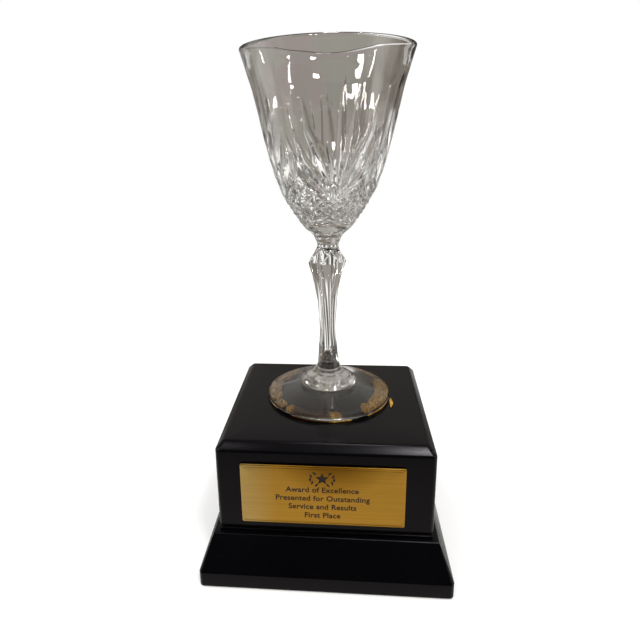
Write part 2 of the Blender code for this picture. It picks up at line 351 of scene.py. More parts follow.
def cement_material():
    """Cured amber cement: brown in front, gold at the sides with pulled threads, paler at the left."""
    n = Nodes("amber_cement")
    n.set(Specular__IOR__Level=0.10)
    patch = n.noise(n.coordinates(), 70, 4, 0.6, 0.6)
    threads = n.noise(n.coordinates((1.0, 0.4, 1.0), (0, 0, 0.6)), 480, 4, 0.65, 1.6)
    x = n.axes("Object")[0]
    side = n.calculate("ABSOLUTE", n.calculate("MULTIPLY", n.calculate("ADD", x, 0.008), 40.0))
    side = n.total((side, 1.0), (patch, 0.35))
    base = n.ramp(side, [
        (0.36, (0.038, 0.012, 0.001)), (0.56, (0.046, 0.016, 0.001)), (0.64, (0.25, 0.12, 0.008)),
        (0.95, (0.27, 0.13, 0.010)),
    ])
    pale = n.mix(n.spread(x, 1.0, 0.0, -0.030, -0.022), (0.66, 0.41, 0.10), (0.62, 0.54, 0.40))
    strands = n.spread(threads, 0.0, 0.85, 0.50, 0.60)
    pulled = n.calculate("MULTIPLY", strands, n.spread(side, 0.03, 1.0, 0.54, 0.66))
    colour = n.mix(pulled, base, pale)
    normal = n.bump(n.total((threads, 0.6), (patch, 0.4)), 0.5, 0.0003)
    return n.wire(Base__Color=colour, Roughness=n.spread(patch, 0.22, 0.5), Normal=normal)


def felt_material():
    """Black felt with a faint sheen and clumped fibres."""
    n = Nodes("black_felt")
    n.set(Specular__IOR__Level=0.15, Sheen__Weight=0.4, Sheen__Roughness=0.5)
    fibres = n.noise(n.coordinates(), 1500, 5, 0.7, 2.0)
    clumps = n.noise(n.coordinates(), 160, 4)
    colour = n.mix(fibres, (0.007, 0.007, 0.008), (0.032, 0.031, 0.032))
    colour = n.mix(n.spread(clumps, 0.0, 0.5), colour, (0.014, 0.014, 0.016))
    normal = n.bump(n.total((fibres, 1.0), (clumps, 0.5)), 0.8, 0.0004)
    return n.wire(Base__Color=colour, Roughness=n.spread(clumps, 0.85, 1.0), Normal=normal)


def tape_material():
    """White foam tape with fine cells."""
    n = Nodes("foam_tape")
    n.set(Specular__IOR__Level=0.25)
    voronoi = n.add("ShaderNodeTexVoronoi", Scale=2200.0)
    n.join(n.coordinates(), voronoi.inputs["Vector"])
    cells = voronoi.outputs["Distance"]
    colour = n.mix(cells, (0.58, 0.57, 0.54), (0.80, 0.79, 0.76))
    normal = n.bump(cells, 0.4, 0.0002)
    return n.wire(Base__Color=colour, Roughness=n.spread(cells, 0.7, 0.95), Normal=normal)


def steel_material():
    """Zinc-plated steel with a dull bloom."""
    n = Nodes("zinc_plated_steel")
    n.set(Metallic=1.0)
    bloom = n.noise(n.coordinates(), 700, 4)
    turning = n.noise(n.coordinates((1, 1, 9)), 500, 3)
    colour = n.mix(bloom, (0.50, 0.50, 0.47), (0.72, 0.71, 0.66))
    normal = n.bump(turning, 0.3, 0.0001)
    return n.wire(Base__Color=colour, Roughness=n.spread(bloom, 0.28, 0.5), Normal=normal)


LACQUER = lacquer_material()
BRASS = brass_material()
INK = ink_material()
CRYSTAL = crystal_material()
CEMENT = cement_material()
FELT = felt_material()


# ---------------------------------------------------------------- goblet

# Heights are in mm above the block, angles in degrees from -Y towards +X.
SECTOR = 90.0         # the cut pattern repeats four times
FAN_ANGLE = 12.8      # middle of the first fan
PANEL_EDGE = -11.5    # the eight broad panels of the bowl meet here and every 45 degrees
PANEL_WIDTH = 45.0
STEM_PHASE = -14.0    # a corner of the shoulder
STEM_TWIST = 43.0     # the stem's edges turn by this much from the shoulder down
SHOULDER_Z = 79.9
KITE_LOW_Z = 78.0     # the kite facets above the shoulder start here
KITE_HIGH_Z = 86.9    # and end here, where the round neck begins
PANEL_END_Z = 24.5    # the stem's panels stop turning here
STEM_HOLLOW = 0.11    # share of the radius that the panels are hollowed by
STEM_BOW = 0.6        # hand-drawn glass: the stem bows this far to -X
RIM_AROUND = 384
WALL_AROUND = 192
STEM_AROUND = 96
COARSE_BELOW = 93.2   # the bowl's rings have STEM_AROUND points below this height
MEDIUM_BELOW = 97.5   # and WALL_AROUND points from there up to this one
DIAMONDS_AROUND = 20
DIAMOND_DEPTH = 1.15
DIAMOND_RADIUS = 22.0  # the depth is in proportion to the bowl's radius, and full here
BAND_BOTTOM = 102.6
BAND_LOW = 112.5      # top of the diamond band at a fan
BAND_HIGH = 126.5     # and midway between two fans
LEAF_BOTTOM = 126.0   # small leaf above each peak of the diamond band
LEAF_LENGTH = 13.0
LEAF_HALF_WIDTH = 2.3
LEAF_DEPTH = 0.75

# Outlines as (radius, height)
BOWL_OUTSIDE = [
    (6.6, 91.7), (7.7, 94.4), (9.9, 96.7), (12.4, 98.8), (15.4, 102.6), (17.4, 105.3), (20.3, 109.7),
    (24.9, 118.2), (28.2, 126.5), (31.3, 136.9), (33.8, 146.8), (36.4, 158.5), (38.8, 169.8), (41.2, 179.0),
    (43.3, 186.2), (43.85, 187.9),
]
BOWL_LIP = [(43.9, 188.35), (43.65, 188.7), (43.3, 188.75), (42.95, 188.4)]
BOWL_INSIDE = [
    (42.5, 187.2), (40.55, 183.0), (38.55, 177.5), (36.75, 170.0), (34.1, 158.5), (31.2, 147.0),
    (28.4, 136.9), (25.3, 128.0), (22.2, 121.0), (18.6, 114.5), (15.0, 110.2), (10.6, 106.6), (5.6, 104.3),
    (1.6, 103.7),
]
FOOT_OUTSIDE = [
    (6.25, 20.2), (6.55, 18.8), (7.0, 17.2), (7.7, 15.9), (8.7, 15.1), (9.1, 14.5), (9.9, 14.3),
    (12.2, 13.0), (12.9, 12.0), (13.8, 11.7), (15.0, 10.9), (15.5, 9.7), (16.6, 9.0), (18.8, 8.0),
    (22.5, 6.5), (28.0, 4.55), (33.0, 2.95), (35.0, 2.35),
]
FOOT_EDGE = [(35.4, 2.1), (35.5, 1.7), (35.25, 1.3), (34.6, 1.12)]
FOOT_UNDERSIDE = [
    (33.8, 1.15), (31.0, 1.65), (27.0, 2.65), (22.0, 4.15), (17.0, 5.6), (12.0, 6.7), (7.0, 7.3), (3.5, 7.5),
    (1.2, 7.5),
]
# The stem's six long panels and its six kite facets, as distance of the flats from the middle
STEM_FLATS = [
    (9.0, 20.0), (7.0, 22.0), (6.1, 23.5), (5.45, 25.0), (4.8, 28.0), (4.46, 31.0), (4.24, 36.0),
    (4.15, 41.0), (4.35, 45.8), (4.8, 50.6), (5.15, 55.4), (5.6, 60.0), (6.3, 64.8), (7.0, 69.4),
    (7.8, 74.0), (8.9, 77.5), (9.3, 79.9), (8.8, 82.5), (7.8, 85.6), (5.6, 92.0),
]
KITE_FLATS = [(13.3, 78.0), (10.9, 79.9), (9.2, 82.0), (6.5, 85.6), (5.85, 86.9)]
# Round limit of the stem: its neck, its lower end and no limit between them
STEM_LIMIT = [
    (6.3, 20.0), (5.95, 22.0), (5.75, 23.7), (5.5, 26.0), (5.3, 31.0), (5.4, 36.0), (14.0, 38.0),
    (14.0, 85.4), (7.4, 86.2), (6.3, 86.9), (6.05, 87.5), (5.8, 88.6), (5.8, 89.9), (6.15, 91.0), (6.9, 92.0),
]
# Stretches of the stem from the top down: from, to, number of rings
STEM_STRETCHES = [(91.4, 86.9, 12), (86.9, 79.0, 34), (79.0, 27.0, 52), (27.0, 20.6, 18)]
# Depth of the broad panels by height: faint at the cuts and at the lip
PANEL_DEPTH = [(0.0, 126), (0.5, 143), (0.75, 158), (0.5, 169), (0.08, 177), (0.03, 188)]

# Flutes of a fan: (degrees from the fan's middle, height) from the base to the tip, half width, depth
FLUTES = [
    (((0.0, 113.5), (0.0, 135.0), (0.0, 176.0)), 2.2, 1.1),
    (((2.2, 115.5), (8.0, 138.0), (13.0, 170.0)), 2.5, 1.1),
    (((4.2, 116.5), (15.5, 134.5), (27.0, 150.0), (30.0, 166.0)), 2.8, 1.15),
    (((6.5, 117.0), (20.0, 126.5), (32.0, 134.0), (40.0, 149.0)), 2.6, 1.05),
]


def at_height(outline, height):
    """The first value of (value, height) pairs, read between them at a height."""
    values, heights = zip(*sorted(outline, key=lambda pair: pair[1]))
    return np.interp(height, heights, values)


def groove(position, half_width):
    """1 in the middle of a mitre cut, 0 at its edge, its bottom slightly round."""
    return np.clip(1 - np.sqrt(position**2 + 0.02 * half_width**2) / half_width, 0, 1)


def bowl_cuts(angle, radius, height):
    """Depth in mm of the fans and the leaves."""
    offset = (angle - FAN_ANGLE + SECTOR / 2) % SECTOR - SECTOR / 2
    per_degree = radius * math.pi / 180
    depth = np.zeros_like(offset)

    for path, half_width, deepest in FLUTES:
        degrees = np.array([p[0] for p in path])
        heights = np.array([p[1] for p in path])
        fine_z = np.linspace(heights[0], heights[-1], 60)
        centre = np.interp(fine_z, heights, degrees)
        centre = np.convolve(np.pad(centre, 4, mode="edge"), np.ones(9) / 9, mode="valid")
        slope = np.gradient(centre, fine_z)
        along = (height - heights[0]) / (heights[-1] - heights[0])
        middle = np.interp(height, fine_z, centre)
        lean = np.interp(height, fine_z, slope) * per_degree
        square = 1 / np.sqrt(1 + lean**2)
        share = np.sin(np.pi * np.clip(along, 0, 1) ** 0.8) ** 0.75
        share = np.where((along <= 0) | (along >= 1), 0, share)
        width = np.maximum(half_width * share, 1e-3)
        for side in ((1,) if middle.max() < 0.5 else (-1, 1)):
            position = (offset * side - middle) * per_degree * square
            depth = np.maximum(depth, deepest * share * groove(position, width))

    beyond = SECTOR / 2 - np.abs(offset)
    along = np.clip((height - LEAF_BOTTOM) / LEAF_LENGTH, 0, 1)
    share = np.where((along > 0) & (along < 1), np.sin(np.pi * along) ** 0.6, 0)
    leaf = groove(beyond * per_degree, np.maximum(LEAF_HALF_WIDTH * share, 1e-3))
    return np.maximum(depth, LEAF_DEPTH * share * leaf)


def diamond_cuts(angle, path_length, radius, height):
    """Crossing mitre cuts; turn is the angle that a 45 degree cut has gone round by this point."""
    between = (radius[1:] + radius[:-1]) / 2
    turn = np.degrees(np.concatenate([[0], np.cumsum(np.diff(path_length) / between)]))[:, None]
    pitch = 360.0 / DIAMONDS_AROUND
    depth = np.zeros(angle.shape)
    for sign in (-1, 1):
        phase = ((angle - FAN_ANGLE + sign * turn) / pitch) % 1.0
        depth = np.maximum(depth, np.clip(1 - (0.5 - np.abs(phase - 0.5)) / 0.46, 0, 1))
    offset = np.abs((angle - FAN_ANGLE + SECTOR / 2) % SECTOR - SECTOR / 2)
    top = BAND_LOW + (BAND_HIGH - BAND_LOW) * offset / (SECTOR / 2)
    z = height[:, None]
    fade = np.clip((top - z) / 0.8, 0, 1) * np.clip((z - BAND_BOTTOM) / 0.5, 0, 1)
    scale = np.clip(radius[:, None] / DIAMOND_RADIUS, 0.55, 1.15)
    return DIAMOND_DEPTH * scale * depth * fade


def ring_points(radius, angle, height):
    """Points around the goblet's axis, in the frame's mm."""
    radians = np.radians(angle)
    return np.stack([
        GOBLET_X + radius * np.sin(radians), GOBLET_Y - radius * np.cos(radians),
        BLOCK_TOP + height * np.ones_like(radians),
    ], axis=-1)


def bowl_outside_rings():
    """The bowl from its neck to its lip, with everything that is cut into it."""
    coarse = spline(BOWL_OUTSIDE, 2000)
    z = coarse[:, 1]
    # Distance between two rings: small where the diamonds are
    spacing = np.select([z < BAND_BOTTOM - 1, z < BAND_HIGH + 1, z < 172], [0.75, 0.38, 0.72], 1.3)
    step = np.concatenate([[0], np.hypot(*np.diff(coarse, axis=0).T)])
    amount = np.cumsum(step * (1 / spacing))
    levels = np.linspace(0, amount[-1], int(amount[-1]) + 1)
    radius = np.interp(levels, amount, coarse[:, 0])
    height = np.interp(levels, amount, z)
    length = np.interp(levels, amount, np.cumsum(step))
    slope_r, slope_z = np.gradient(radius), np.gradient(height)
    size = np.hypot(slope_r, slope_z)
    normal_r, normal_z = slope_z / size, -slope_r / size

    angle = STEM_PHASE + np.arange(RIM_AROUND) * 360.0 / RIM_AROUND
    grid = np.broadcast_to(angle, (len(height), RIM_AROUND))
    z_grid = np.broadcast_to(height[:, None], grid.shape)
    r_grid = np.broadcast_to(radius[:, None], grid.shape)
    depth = np.maximum(bowl_cuts(grid, r_grid, z_grid), diamond_cuts(grid, length, radius, height))
    across = ((grid - PANEL_EDGE) / PANEL_WIDTH) % 1.0 - 0.5
    depth = depth + at_height(PANEL_DEPTH, z_grid) * (1 - (2 * across) ** 2)

    out_r = r_grid - depth * normal_r[:, None]
    out_z = z_grid - depth * normal_z[:, None]
    return [ring_points(out_r[i], angle, out_z[i]) for i in range(len(height))]


def smooth_rings(outline, samples, around, phase):
    """Rings of a turned outline, sampled along a spline, or at its own points if samples is None."""
    angle = phase + np.arange(around) * 360.0 / around
    curve = spline(outline, samples) if samples else np.array(outline)
    return [ring_points(np.full(around, r), angle, np.full(around, z)) for r, z in curve]


def stem_rings():
    """Hexagonal stem: hollow panels that turn below the shoulder, kite facets above it."""
    top, bottom = STEM_STRETCHES[0][0], STEM_STRETCHES[-1][1]
    heights = np.concatenate([
        np.linspace(start, end, count, endpoint=(end == bottom)) for start, end, count in STEM_STRETCHES
    ])
    fine_z = np.arange(18.0, 94.0, 0.1)
    kernel = np.hanning(29)[1:-1]
    padded = np.pad(at_height(STEM_FLATS, fine_z), 13, mode="edge")
    fine_r = np.convolve(padded, kernel / kernel.sum(), mode="valid")
    rings = []
    for z in heights:
        twist = min(STEM_TWIST * (SHOULDER_Z - min(z, SHOULDER_Z)) / (SHOULDER_Z - PANEL_END_Z), STEM_TWIST)
        angle = STEM_PHASE + twist + np.arange(STEM_AROUND) * 360.0 / STEM_AROUND
        lower = (angle - STEM_PHASE - twist) % 60.0 - 30.0
        upper = (angle - STEM_PHASE + 30.0) % 60.0 - 30.0
        hollow = 1 - STEM_HOLLOW * (1 - (lower / 30.0) ** 2)
        radius = np.interp(z, fine_z, fine_r) / np.cos(np.radians(lower)) * hollow
        if z > KITE_LOW_Z:
            radius = np.minimum(radius, at_height(KITE_FLATS, z) / np.cos(np.radians(upper)))
        limit = at_height(STEM_LIMIT, z)
        if z > KITE_HIGH_Z:
            radius = np.full_like(radius, limit)
        ring = ring_points(np.minimum(radius, limit), angle, z)
        ring[:, 0] -= STEM_BOW * math.sin(math.pi * (z - bottom) / (top - bottom))
        rings.append(ring)
    return rings


def skin(rings):
    """Vertices and faces of a closed body from rings whose counts may halve or double."""
    vertices, faces, starts = [], [], []
    for ring in rings:
        starts.append(len(vertices))
        vertices.extend(ring.tolist())
    for i in range(len(rings) - 1):
        a, b, n, m = starts[i], starts[i + 1], len(rings[i]), len(rings[i + 1])
        if n == m:
            for j in range(n):
                k = (j + 1) % n
                faces.append((a + j, a + k, b + k, b + j))
            continue
        if n < m:
            a, b, n, m = b, a, m, n
        for j in range(m):
            k = (j + 1) % m
            f0, f1, f2 = a + 2 * j, a + 2 * j + 1, a + (2 * j + 2) % n
            faces += [(f0, f1, b + j), (f1, f2, b + k), (f1, b + k, b + j)]
    for start, ring in ((starts[0], rings[0]), (starts[-1], rings[-1])):
        centre = len(vertices)
        vertices.append(ring.mean(axis=0).tolist())
        faces += [(start + j, start + (j + 1) % len(ring), centre) for j in range(len(ring))]
    return vertices, faces


def build_goblet():
    bowl = []
    for ring in bowl_outside_rings():
        height = ring[0][2] - BLOCK_TOP
        keep = 4 if height < COARSE_BELOW else 2 if height < MEDIUM_BELOW else 1
        bowl.append(ring[::keep])
    inside = smooth_rings(BOWL_INSIDE[::-1], 38, WALL_AROUND, STEM_PHASE)
    lip = smooth_rings(BOWL_LIP[::-1], None, RIM_AROUND, STEM_PHASE)
    foot_phase = STEM_PHASE + STEM_TWIST
    foot = smooth_rings(FOOT_OUTSIDE, 56, WALL_AROUND, foot_phase)
    foot[:2] = [ring[::2] for ring in foot[:2]]
    edge = smooth_rings(FOOT_EDGE, None, WALL_AROUND, foot_phase)
    under = smooth_rings(FOOT_UNDERSIDE, 14, WALL_AROUND, foot_phase)
    vertices, faces = skin(inside + lip + bowl[::-1] + stem_rings() + foot + edge + under)
    goblet = piece_from_arrays("crystal_goblet", vertices, faces, sharp=30)
    finish_piece(goblet, CRYSTAL, ("goblet_bowl", "goblet_stem", "goblet_foot"))


# ---------------------------------------------------------------- plinth

BASE_CORNER = 2.4
BLOCK_CORNER = 2.6
NECK_CORNER = 1.4
BAND_TOP_Z = 8.6      # the base's upright band ends here and its slope begins
LEDGE_INSET = 7.4     # the slope runs in by this much
NECK_INSET = 1.3      # depth of the shadow gaps
BEAD_LOW_Z = 28.1
BEAD_HIGH_Z = 29.2
TOP_CHAMFER = 3.95
FOOT_CHAMFER = 0.8    # on the block's lower edge
FELT_CLEARANCE = 0.3
INWARDS = 20.0        # how far in the flat faces reach before they are capped


def build_plinth():
    low, high = BASE_LOW / MM, BASE_HIGH / MM
    recess = high.x - FELT_HIGH.x / MM - FELT_CLEARANCE
    recess_top = FELT_HIGH.z / MM + FELT_CLEARANCE
    base = board("plinth_base_wood", high.x, high.y, BASE_CORNER, [
        (recess, recess_top, 0), (recess, low.z, 0.2), (0.0, low.z, 0.5), (0.0, BAND_TOP_Z, 0.8),
        (LEDGE_INSET, high.z, 0.9), (INWARDS, high.z, 0),
    ])
    finish_piece(base, LACQUER, ("plinth_base",))

    low, high = NECK_LOW / MM, NECK_HIGH / MM
    neck = board("neck_bead_board", high.x, high.y, NECK_CORNER, [
        (INWARDS, low.z, 0), (NECK_INSET, low.z, 0), (NECK_INSET, BEAD_LOW_Z, 0.1), (0.0, BEAD_LOW_Z, 0.5),
        (0.0, BEAD_HIGH_Z, 0.5), (NECK_INSET, BEAD_HIGH_Z, 0.1), (NECK_INSET, high.z, 0),
        (INWARDS, high.z, 0),
    ])
    finish_piece(neck, LACQUER, ("neck_board",))

    low, high = BLOCK_LOW / MM, BLOCK_HIGH / MM
    block = board("plinth_block_wood", high.x, high.y, BLOCK_CORNER, [
        (INWARDS, low.z, 0), (FOOT_CHAMFER, low.z, 0.3), (0.0, low.z + FOOT_CHAMFER, 0.6),
        (0.0, high.z - TOP_CHAMFER, 2.2), (TOP_CHAMFER, high.z, 2.4), (INWARDS, high.z, 0),
    ])
    finish_piece(block, LACQUER, ("plinth_block",))


def build_felt():
    low, high = FELT_LOW / MM, FELT_HIGH / MM
    rng = np.random.default_rng(7)
    path = [(INWARDS, low.z, 0), (0.0, low.z, 0.4), (0.0, high.z, 0.3), (INWARDS, high.z, 0)]
    rings = []
    for inset, z in rounded_path(path, 4):
        ring = np.array(rectangle_ring(high.x - inset, high.y - inset, BASE_CORNER, z, 24))
        if inset < 1:
            ring[:, :2] *= 1 - 0.002 * rng.random((len(ring), 1))
        rings.append(ring.tolist())
    felt = piece_from_arrays("base_felt_pad", *loft_rings(rings), sharp=40)
    finish_piece(felt, FELT, ("base_felt",))


# ---------------------------------------------------------------- name plate

LETTER_SIZE = 4.2
LINES = [("Award of Excellence", 3.4), ("Presented for Outstanding", -1.5), ("Service and Results", -6.4),
         ("First Place", -11.4)]   # words, height above the plate's middle
EMBLEM_LIFT = 9.9
FILL_HALF_THICK = 0.02
WELD = 0.002          # points of the engraving closer than this become one
LEAVES = 5            # on each side of the star


def engraved_line(words, x, z, y):
    curve = bpy.data.curves.new("line", "FONT")
    curve.body = words
    curve.size = LETTER_SIZE * MM
    curve.align_x = "CENTER"
    curve.align_y = "CENTER"
    curve.extrude = FILL_HALF_THICK * MM
    curve.resolution_u = 4
    curve.space_character = 1.04
    curve.offset = 0.09 * MM
    holder = link("line_curve", curve)
    upright = Matrix.Rotation(math.pi / 2, 4, "X")
    holder.matrix_world = Matrix.Translation((x * MM, y * MM, z * MM)) @ upright
    bpy.context.view_layer.update()
    data = bpy.data.meshes.new_from_object(holder.evaluated_get(bpy.context.evaluated_depsgraph_get()))
    data.transform(holder.matrix_world)
    bpy.data.objects.remove(holder)
    return data


def star_data(outer, inner, points):
    """A thin upright star about the origin; with two points it is a lozenge-shaped leaf."""
    ring = []
    for step in range(points * 2):
        radius = outer if step % 2 == 0 else inner
        angle = math.pi / 2 + math.pi * step / points
        ring.append((radius * math.cos(angle), radius * math.sin(angle)))
    vertices, faces = loft_rings([[(x, y, z) for x, z in ring] for y in (FILL_HALF_THICK, -FILL_HALF_THICK)])
    data = bpy.data.meshes.new("star")
    data.from_pydata([tuple(v) for v in np.asarray(vertices) * MM], [], faces)
    return data


def build_plate():
    low, high = PLATE_LOW / MM, PLATE_HIGH / MM
    centre, half = (low + high) / 2, (high - low) / 2
    thick = high.y - low.y
    # A bevelled rim and a thin line engraved inside it: (inset, depth from the back, radius)
    path = rounded_path([
        (12.0, 0.0, 0), (0.0, 0.0, 0.1), (0.0, thick - 0.18, 0.25), (0.55, thick, 0.2), (1.0, thick, 0.1),
        (1.2, thick - 0.12, 0.1), (1.45, thick - 0.12, 0.1), (1.65, thick, 0.1), (12.0, thick, 0),
    ], 4)
    rings = []
    for inset, depth in path:
        outline = rectangle_ring(half.x - inset, half.z - inset, 0.9 if inset < 2 else 0.5, 0.0, 6)
        rings.append([(centre.x + px, high.y - depth, centre.z + pz) for px, pz, _ in outline])
    plate = piece_from_arrays("brass_name_plate", *loft_rings(rings), sharp=35)
    finish_piece(plate, BRASS, ("name_plate",))


def build_engraving():
    """A star between two sprigs above the lines, as one thin fill in the plate's face."""
    centre = (PLATE_LOW + PLATE_HIGH) / 2 / MM
    face = PLATE_LOW.y / MM - 0.01
    emblem_z = centre.z + EMBLEM_LIFT
    star = star_data(3.5, 1.6, 5)
    star.transform(Matrix.Translation((centre.x * MM, face * MM, emblem_z * MM)))
    parts = [star]
    for side in (-1, 1):
        for i in range(LEAVES):
            angle = math.radians(-62 + 28 * i)
            leaf_x = centre.x + side * 6.0 * math.cos(angle)
            leaf_z = emblem_z + 3.96 * math.sin(angle)
            leaf = star_data(1.4, 0.6, 2)
            turn = Matrix.Rotation(side * (angle * 0.8 + 0.15), 4, "Y")
            leaf.transform(Matrix.Translation((leaf_x * MM, face * MM, leaf_z * MM)) @ turn)
            parts.append(leaf)
    for words, lift in LINES:
        parts.append(engraved_line(words, centre.x, centre.z + lift, face))
    mesh = bmesh.new()
    for data in parts:
        mesh.from_mesh(data)
        bpy.data.meshes.remove(data)
    bmesh.ops.remove_doubles(mesh, verts=mesh.verts, dist=WELD * MM)
    bmesh.ops.dissolve_degenerate(mesh, edges=mesh.edges, dist=WELD * MM)
    bmesh.ops.recalc_face_normals(mesh, faces=mesh.faces)
    joined = bpy.data.meshes.new("plate_engraving")
    mesh.to_mesh(joined)
    mesh.free()
    finish_piece(link("plate_engraving", joined), INK)


# ---------------------------------------------------------------- cement

# Patches of cement under the foot: (from, to) in degrees from +X, inner radius, outer radius
CEMENT_PATCHES = [
    (-136.0, -75.0, 27.6, 34.0), (-52.0, 29.0, 26.4, 34.6), (30.0, 120.0, 31.0, 34.2),
    (123.0, 204.0, 27.4, 34.5), (206.0, 221.0, 28.5, 34.2), (-124.0, -67.0, 34.5, 35.2),
    (-51.0, 218.0, 34.7, 35.2),
]
CEMENT_LIMIT = 35.2   # no cement beyond this radius
CEMENT_AROUND = 14    # points around a strip's section
CEMENT_STEP = 1.2     # degrees between two sections
ROOF_GAP = 0.12       # between the cement and the glass over it
DRIP_SECTIONS = 26


def cement_strip(start, end, inner, outer, seed):
    """Sections of an irregular strip along an arc, its top following the underside of the foot."""
    rng = np.random.default_rng(seed)
    count = max(int((end - start) / CEMENT_STEP), 8)
    shift, widen = (
        np.convolve(rng.normal(size=count + 8), np.ones(5) / 5, mode="valid")[:count] for _ in range(2)
    )
    low, high = CEMENT_LOW.z / MM, CEMENT_HIGH.z / MM
    under_r, under_z = zip(*FOOT_UNDERSIDE[::-1])
    rings = []
    for i in range(count):
        t = i / (count - 1)
        pinch = max(min(1.0, math.sin(math.pi * t) * 5), 0.04) ** 0.5
        angle = math.radians(start + (end - start) * t)
        middle = min((inner + outer) / 2 + 0.35 * shift[i], CEMENT_LIMIT - 0.2)
        half = min((outer - inner) / 2 * pinch * (1 + 0.16 * widen[i]), CEMENT_LIMIT - middle)
        ring = []
        for step in range(CEMENT_AROUND):
            turn = math.tau * step / CEMENT_AROUND
            radius = middle + half * math.copysign(abs(math.cos(turn)) ** 0.55, math.cos(turn))
            lift = 0.5 + 0.5 * math.copysign(abs(math.sin(turn)) ** 0.6, math.sin(turn))
            roof = max(BLOCK_TOP + np.interp(radius, under_r, under_z) - ROOF_GAP, high) - low
            z = low + roof * (0.5 + (lift - 0.5) * (0.4 + 0.6 * pinch))
            ring.append((GOBLET_X + radius * math.cos(angle), GOBLET_Y + radius * math.sin(angle), z))
        rings.append(ring)
    return rings


def build_cement():
    vertices, faces = [], []
    for seed, (start, end, inner, outer) in enumerate(CEMENT_PATCHES):
        points, quads = loft_rings(cement_strip(start, end, inner, outer, seed + 3))
        base = len(vertices)
        vertices += points
        faces += [tuple(base + i for i in face) for face in quads]
    strips = piece_from_arrays("foot_cement", vertices, faces)
    finish_piece(strips, CEMENT, ("cement_ring",))


def build_drip():
    """The bead beside the foot: a leaning, slightly curved drop that lies on the block."""
    low, high = DRIP_LOW / MM, DRIP_HIGH / MM
    centre = (low + high) / 2
    rings = []
    for i in range(DRIP_SECTIONS):
        t = i / (DRIP_SECTIONS - 1)
        share = max(math.sin(math.pi * t), 0.0) ** 0.5
        top = (high.z - low.z) * (0.35 + 0.65 * share)
        middle = centre.x + (t - 0.5) * 0.9 + 0.25 * math.sin(5.0 * t)
        ring = []
        for step in range(CEMENT_AROUND):
            turn = math.tau * step / CEMENT_AROUND
            x = middle + 0.98 * (share + 0.02) * math.cos(turn)
            ring.append((x, low.y + (high.y - low.y) * t, low.z + top * (0.5 + 0.5 * math.sin(turn))))
        rings.append(ring)
    drip = piece_from_arrays("cement_bead", *loft_rings(rings))
    finish_piece(drip, CEMENT, ("cement_drip",))


# ---------------------------------------------------------------- stage

FLOOR_RADIUS = 1.6


def build_floor():
    """A pale disc that fades out, so that it has no edge; gloss and glass don't see it."""
    mesh = bmesh.new()
    bmesh.ops.create_circle(mesh, cap_ends=True, radius=FLOOR_RADIUS, segments=96)
    data = bpy.data.meshes.new("studio_floor")
    mesh.to_mesh(data)
    mesh.free()
    floor = link("studio_floor", data)
    n = Nodes("pale_floor")
    n.set(Roughness=0.9, Specular__IOR__Level=0.1)
    speck = n.noise(n.coordinates(), 40, 3)
    n.wire(Base__Color=n.mix(speck, (0.93, 0.93, 0.925), (0.95, 0.95, 0.945)))
    gradient = n.add("ShaderNodeTexGradient", _gradient_type="SPHERICAL")
    n.join(n.coordinates((2 / FLOOR_RADIUS, 2 / FLOOR_RADIUS, 2 / FLOOR_RADIUS)), gradient.inputs["Vector"])
    clear = n.add("ShaderNodeBsdfTransparent")
    fade = n.add("ShaderNodeMixShader")
    n.join(n.spread(gradient.outputs["Fac"], 0.0, 1.0, 0.0, 0.55), fade.inputs[0])
    n.join(clear.outputs[0], fade.inputs[1])
    n.join(n.shader.outputs[0], fade.inputs[2])
    n.join(fade.outputs[0], n.output.inputs["Surface"])
    floor.data.materials.append(n.material)
    floor.visible_glossy = False
    floor.visible_transmission = False


# The room that gloss and glass see. A panel is a plain rectangle: azimuth of its middle from +Y towards +X
# and half its width in degrees, lowest and highest z of the direction to it, colour. Later panels cover
# earlier ones.
PANEL_SOFT = 0.03
OLIVE, ROSE = (0.302, 0.291, 0.254), (0.326, 0.284, 0.265)
LOW_WALL = (0.36, 0.34, 0.31)
DARK = (0.08, 0.076, 0.070)
WALL_PANELS = [
    (0.0, 80.0, 0.38, 0.66, (0.41, 0.395, 0.365)),
    (62.0, 22.0, -0.25, 0.40, (0.115, 0.102, 0.084)),
    (27.0, 6.0, -0.12, 0.24, (0.13, 0.12, 0.105)),
    (-48.0, 9.0, -0.25, 0.42, (0.11, 0.10, 0.09)),
    (-80.0, 16.0, -0.9, 0.38, (0.95, 0.95, 0.92)),
    (104.0, 14.0, -0.9, 0.42, (0.95, 0.94, 0.91)),
    (-20.0, 6.0, 0.24, 0.30, (0.75, 0.74, 0.71)),
    (-4.0, 7.0, 0.26, 0.36, DARK),
    (13.0, 6.0, 0.24, 0.30, (0.75, 0.74, 0.71)),
    (30.0, 6.0, 0.26, 0.36, DARK),
    (15.5, 10.5, -0.10, 0.37, (0.185, 0.163, 0.135)),
    (-54.0, 6.0, -0.85, -0.25, (0.09, 0.085, 0.078)),
    (-40.0, 6.0, -0.85, -0.14, (1.25, 1.25, 1.23)),
    (-27.0, 5.0, -0.85, -0.13, DARK),
    (-17.0, 3.5, -0.85, -0.13, (1.15, 1.15, 1.13)),
    (-10.0, 2.5, -0.85, -0.13, (0.10, 0.095, 0.088)),
    (4.0, 3.0, -0.85, -0.14, (1.15, 1.15, 1.13)),
    (12.0, 4.0, -0.85, -0.13, DARK),
    (22.0, 4.5, -0.85, -0.13, (1.10, 1.10, 1.08)),
    (31.0, 4.0, -0.85, -0.13, DARK),
    (41.0, 5.5, -0.85, -0.14, (1.25, 1.25, 1.23)),
    (54.0, 6.0, -0.85, -0.25, DARK),
    (180.0, 75.0, -1.2, -0.42, (0.47, 0.445, 0.41)),
]
